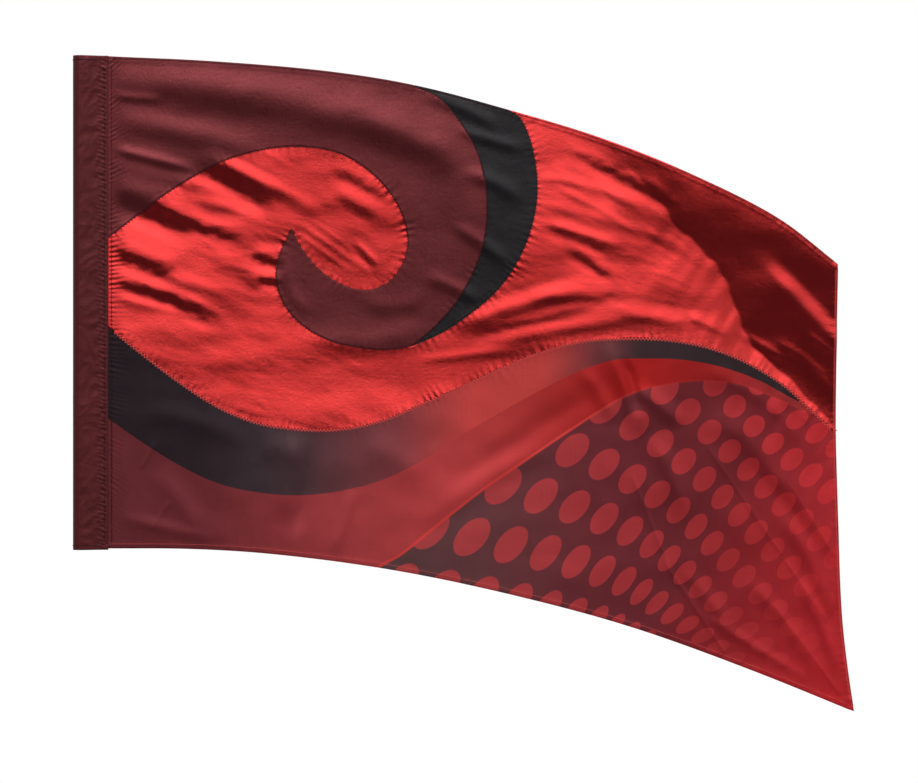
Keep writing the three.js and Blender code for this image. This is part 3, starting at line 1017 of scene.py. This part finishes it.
# Half of the sleeve's section, from its raw edge inside the seam, round the fold, to the pole's far side.
def sleeveSection():
    radius, front, turned = sleeve["poleRadius"], sleeve["tailFront"], sleeve["tailTurned"]
    start, edge = sleeve["tailStart"], sleeve["tailEnd"]
    middle, bend = (front + turned) / 2, (front - turned) / 2
    half = [(x, turned) for x in np.linspace(sleeve["turnedBackTo"], edge - 1, 4)]
    angles = np.linspace(0.4, math.pi - 0.4, 5)
    half += [(edge - 1 + math.sin(a), middle - bend * math.cos(a)) for a in angles]
    half += [(x, front) for x in np.linspace(edge - 1, start, 7)]
    meets = math.atan2(front, start) + math.acos(radius / math.hypot(start, front))
    touch = radius * math.cos(meets), radius * math.sin(meets)
    for t in np.linspace(0, 1, 15)[1:]:
        half.append((start + (touch[0] - start) * t, front + (touch[1] - front) * t))
    half += [(radius * math.cos(a), radius * math.sin(a)) for a in np.linspace(meets, math.pi, 18)[1:]]
    return np.array(half)


def makeSleeve():
    half = sleeveSection()
    section = np.vstack([half * (1, -1), half[::-1][1:]])
    reach = lengthAlong(section)
    outward = leftOf(section, 1) - section
    hem, inset = sleeve["hem"], sleeve["hemInset"]
    up = np.arange(0, sleeveTop + 0.1, sleeve["ringStep"])
    # each ring's height and how deep it lies: down the turned hem, round the mouth, up the sleeve and back in
    low, high = 0.15, sleeveTop - 0.15
    levelsUp = [(hem - t, inset) for t in np.linspace(0, hem - 0.5, 5)] + [(low, inset * 0.5)]
    levelsUp += [(max(z, low), 0) for z in up[:-1]] + [(high, 0), (high, inset * 0.5)]
    levelsUp += [(sleeveTop - t, inset) for t in np.linspace(0.5, hem, 5)]
    rings = []
    for z, sunk in levelsUp:
        # the back layer has folds of its own
        s = reach + np.where(section[:, 1] < 0, 0, 400)
        zz = np.full(len(s), float(z))
        puff = 1.6 * noise(s, zz, 60, 81) + 1.1 * crumple(s * 1.3 + zz * 0.5, zz, 28, 82)
        bySeam = np.exp(-((section[:, 0] - 40) / 9) ** 2)
        gather = 0.55 * np.sin(zz / 1.25 + section[:, 0] * 0.25 + 2.5 * noise(s * 0.4, zz, 18, 83))
        gather += 1.3 * noise(s * 1.6, zz, 8, 84) * (section[:, 0] < 47)
        held = fade(np.abs(section[:, 1]), 1.2, 5)
        front = 0.2 + 0.8 * fade(section[:, 0], -6, 14)
        inTurning = (reach < 9) | (reach > reach[-1] - 9)
        move = puff * held * front * 0.7 + np.where(inTurning, 0, 0.7 * gather * bySeam)
        rings.append(np.column_stack([section + outward * (move - sunk)[:, None], zz]))
    n = len(section)
    uv = np.concatenate([np.column_stack([reach + 200, np.full(n, float(z))]) for z, _ in levelsUp])
    piece = pieceFrom("sleeve_cloth", np.concatenate(rings), quads(len(rings), n), "maroon_silk", uv)
    # the sleeve takes the darker copy of the maroon silk, whose base colour holds painted shade
    piece.data.materials[0] = materials["shaded_sleeve_silk"]
    thicken(piece, pattern["clothThickness"])
    return piece


sleevePiece = makeSleeve()
print("sleeve made")

# stitching

stitching = {
    "radius": 0.55,
    "sides": 5,
    "zigzagWidth": 5.6,
    "zigzagPitch": 3.2,
    "straight": 3.2,
    "seamFrom": 14.0,
    "seamTo": 900.0,
    "mouthInset": 8.0,
}


def tubes(paths, radius):
    parts, sides = [], stitching["sides"]
    angles = np.linspace(0, 2 * math.pi, sides, endpoint=False)
    for path in paths:
        ahead = np.gradient(path, axis=0)
        ahead /= np.linalg.norm(ahead, axis=1)[:, None]
        side = np.cross(ahead, (0, 1, 0))
        side /= np.linalg.norm(side, axis=1)[:, None]
        up = np.cross(side, ahead)
        ring = path[:, None] + radius * (np.cos(angles)[None, :, None] * side[:, None]
                                         + np.sin(angles)[None, :, None] * up[:, None])
        last = len(ring) * sides - sides
        caps = [list(range(sides))[::-1], list(range(last, last + sides))]
        parts.append((ring.reshape(-1, 3), quads(len(ring), sides, roundColumns=True) + caps))
    return joined(parts)


# A row of stitches as one thread in front and one behind, which meet at every needle hole.
def stitchRow(line, width, pitch, surface, frontLevel, backLevel):
    reach = lengthAlong(line)
    holes = np.arange(pitch * 0.5, reach[-1] - pitch * 0.3, pitch)
    sway = np.where(np.arange(len(holes)) % 2 == 0, 0.5, -0.5) * width
    share = np.array([0.0, 0.25, 0.5, 0.75])
    at = (holes[:-1, None] + share * pitch).ravel()
    across = (sway[:-1, None] * (1 - share) + sway[1:, None] * share).ravel()
    at, across = np.append(at, holes[-1]), np.append(across, sway[-1])
    lift = np.append(np.tile([0.0, 0.8, 1.0, 0.8], len(holes) - 1), 0.0)
    x, z = np.interp(at, reach, line[:, 0]), np.interp(at, reach, line[:, 1])
    slope = directions(line)
    tx, tz = np.interp(at, reach, slope[:, 0]), np.interp(at, reach, slope[:, 1])
    flat = np.column_stack([x - tz * across, z + tx * across])
    middle = (frontLevel + backLevel) / 2
    rows = []
    for level, out in ((frontLevel, -1), (backLevel, 1)):
        # the thread sinks a little way into the cloth
        stand = level + out * stitching["radius"] * 0.7
        rows.append(surface(flat, middle + (stand - middle) * lift))
    return rows


def seamStitching(name, line, slot, frontLevel, backLevel, width, pitch, left=0.0, thick=1.0,
                  surface=onCloth):
    run = leftOf(line, left) if left else line
    paths = stitchRow(run, width, pitch, surface, frontLevel, backLevel)
    return pieceFrom(name, *tubes(paths, stitching["radius"] * thick), slot)


clothHalf = pattern["clothThickness"] / 2
front = {name: level - clothHalf for name, level in levels.items()}
back = {name: level + clothHalf for name, level in levels.items()}
zigzag, narrow, pitch = stitching["zigzagWidth"], stitching["zigzagWidth"] * 0.8, stitching["zigzagPitch"]
seamAt = [straightLine((x, stitching["seamFrom"]), (x, stitching["seamTo"])) for x in (44.0, 57.0)]

# Each row: its name, line, thread, levels in front and behind, width and pitch. Then, where they aren't 0 and
# 1, how far it lies to the line's left and how thick the thread is.
rows = {
    "zigzag_swirl_to_lame": (
        "swirl_lame_zigzag", np.vstack([portion(curlInside, 60, 2000), curlOutside[1:-3]]), "maroon_thread",
        front["swirl"], back["lame"], narrow, pitch),
    "zigzag_swirl_to_crescent": (
        "swirl_crescent_zigzag", crescentInside[14:-4], "maroon_thread", front["swirl"], back["crescent"],
        narrow, pitch),
    "zigzag_crescent_to_lame": (
        "crescent_lame_zigzag", crescentOutside[2:-4], "black_thread", front["crescent"], back["lame"],
        narrow, pitch),
    "zigzag_lame_to_print": (
        "lame_print_zigzag", portion(printSeam, 60, 1392), "red_thread", front["lame"], back["print"],
        zigzag, pitch, 0.0, 1.35),
    "top_hem_stitch": (
        "top_hem_zigzag", topEdge[2:-5], "maroon_thread", front["swirl"], 0.9, 3.6, 1.9, -2.6),
    "fly_hem_stitch": (
        "fly_hem_zigzag", flyEdge[6:-12], "red_thread", -0.1, 1.2, 3.6, 2.6, -3.2, 0.8),
    "bottom_hem_stitch": (
        "bottom_hem_stitches", bottomEdge[2:-10], "red_thread", front["print"], 1.25, 0.0, 3.2, 8.0, 0.55),
    "sleeve_seam_stitch_outer": (
        "fly_side_seam_stitches", seamAt[1], "maroon_thread", front["swirl"], back["print"], 2.0, 2.6),
}
threads = {node: seamStitching(*row) for node, row in rows.items()}


def onSleeveTail(flat, level):
    return np.column_stack([flat[:, 0], level, flat[:, 1]])


# Straight stitches round a mouth of the sleeve, through the wall and its turned hem.
def mouthStitching(name, z):
    wall = portion(sleeveSection(), -np.inf, sleeve["tailStart"] - 2)
    section = np.vstack([wall * (1, -1), wall[::-1][1:]])
    reach = lengthAlong(section)
    at = np.arange(1.0, reach[-1] - 1, 0.8)
    x, y = np.interp(at, reach, section[:, 0]), np.interp(at, reach, section[:, 1])
    flat = np.column_stack([x, y])
    wave = np.abs(np.sin(at / stitching["straight"] * math.pi))
    paths = []
    # outwards from the wall's middle: one thread inside it and one outside, meeting at the needle holes
    for stand in (-clothHalf - 0.25, sleeve["hemInset"] + clothHalf + 0.25):
        moved = leftOf(flat, sleeve["hemInset"] / 2 * (1 - wave) + stand * wave)
        paths.append(np.column_stack([moved[:, 0], np.full(len(at), z), moved[:, 1]]))
    # the tubes are made with y and z changed over, which turns their faces inside out
    points, faces = tubes(paths, stitching["radius"])
    return pieceFrom(name, points[:, (0, 2, 1)], [f[::-1] for f in faces], "maroon_thread")


tail = sleeve["tailFront"] + clothHalf
threads["sleeve_seam_stitch_inner"] = seamStitching(
    "sleeve_side_seam_stitches", seamAt[0], "maroon_thread", -tail, tail, 2.4, 2.6, surface=onSleeveTail)
threads["sleeve_bottom_hem_stitch"] = mouthStitching("bottom_mouth_stitches", stitching["mouthInset"])
threads["sleeve_top_hem_stitch"] = mouthStitching("top_mouth_stitches", sleeveTop - stitching["mouthInset"])
print("stitching made")

# what each piece rides on and stands for

flyPanels = {
    "maroon_swirl_panel": (swirl, (0.72, 0.55), 0.215),
    "black_crescent_panel": (crescent, (0.20, 0.52), 0.045),
    "lame_ground_panel": (ground, (1.37, 0.61), 0.44),
    "printed_lower_panel": (printCloth, (1.40, 0.73), 0.60),
}
sleeveNodes = ("sleeve_seam_stitch_inner", "sleeve_bottom_hem_stitch", "sleeve_top_hem_stitch")

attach(sleevePiece, "sleeve")
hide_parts("pole_sleeve")
for node, (piece, cut, area) in flyPanels.items():
    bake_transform(piece)
    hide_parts(node)
for node, piece in threads.items():
    if node in sleeveNodes:
        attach(piece, "sleeve")
    else:
        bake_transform(piece)
    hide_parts(node)

# floor

bpy.ops.object.select_all(action="DESELECT")
bpy.ops.mesh.primitive_plane_add(size=5, location=(0.7, 0, cadBox[0][2] - studio["floorDrop"] * mm))
floor = bpy.context.active_object
floor.name = "floor"
paint = bpy.data.materials.new("floorPaint")
paint.use_nodes = True
coat = paint.node_tree.nodes["Principled BSDF"].inputs
coat["Base Color"].default_value, coat["Roughness"].default_value = (0.85, 0.85, 0.84, 1), 0.9
floor.data.materials.append(paint)
floor.visible_glossy = False

print("all pieces ride on their bodies")
